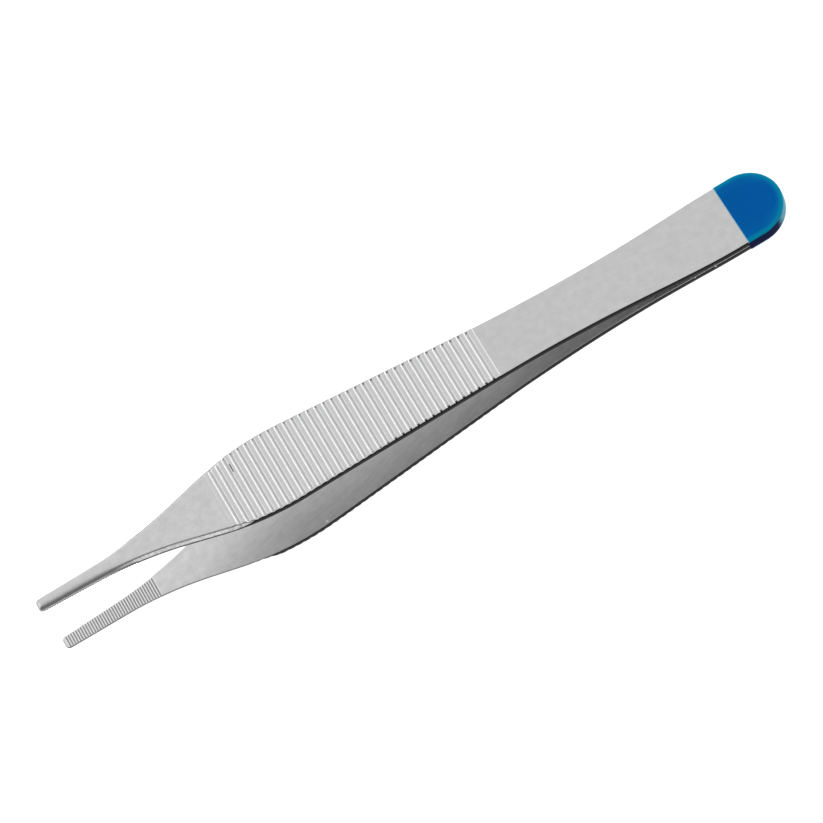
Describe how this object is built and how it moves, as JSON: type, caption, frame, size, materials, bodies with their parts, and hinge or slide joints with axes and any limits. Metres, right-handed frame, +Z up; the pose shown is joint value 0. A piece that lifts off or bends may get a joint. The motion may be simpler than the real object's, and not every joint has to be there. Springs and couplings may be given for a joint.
{
  "type": "thumb forceps",
  "caption": "Slim steel thumb forceps with cross-serrated narrow jaws, ridged grips and a blue dipped heel, lying on one arm.",
  "frame": {"origin": "on the table under the middle of the part's box, with the forceps lying on its lower arm", "axes": "+X towards the blue heel, tips at -X, +Y across the arms, +Z up, upper arm on top"},
  "size_m": [0.1208, 0.0124, 0.0152],
  "materials": {
    "satin_steel": "fine satin brushed stainless steel, brighter on the milled ridges and ground bevels",
    "blue_enamel": "thin semi-gloss blue enamel, dipped"
  },
  "bodies": {
    "root": {"upper_arm": "satin_steel", "lower_arm": "satin_steel", "blue_end_coat": "blue_enamel"}
  },
  "joints": []
}
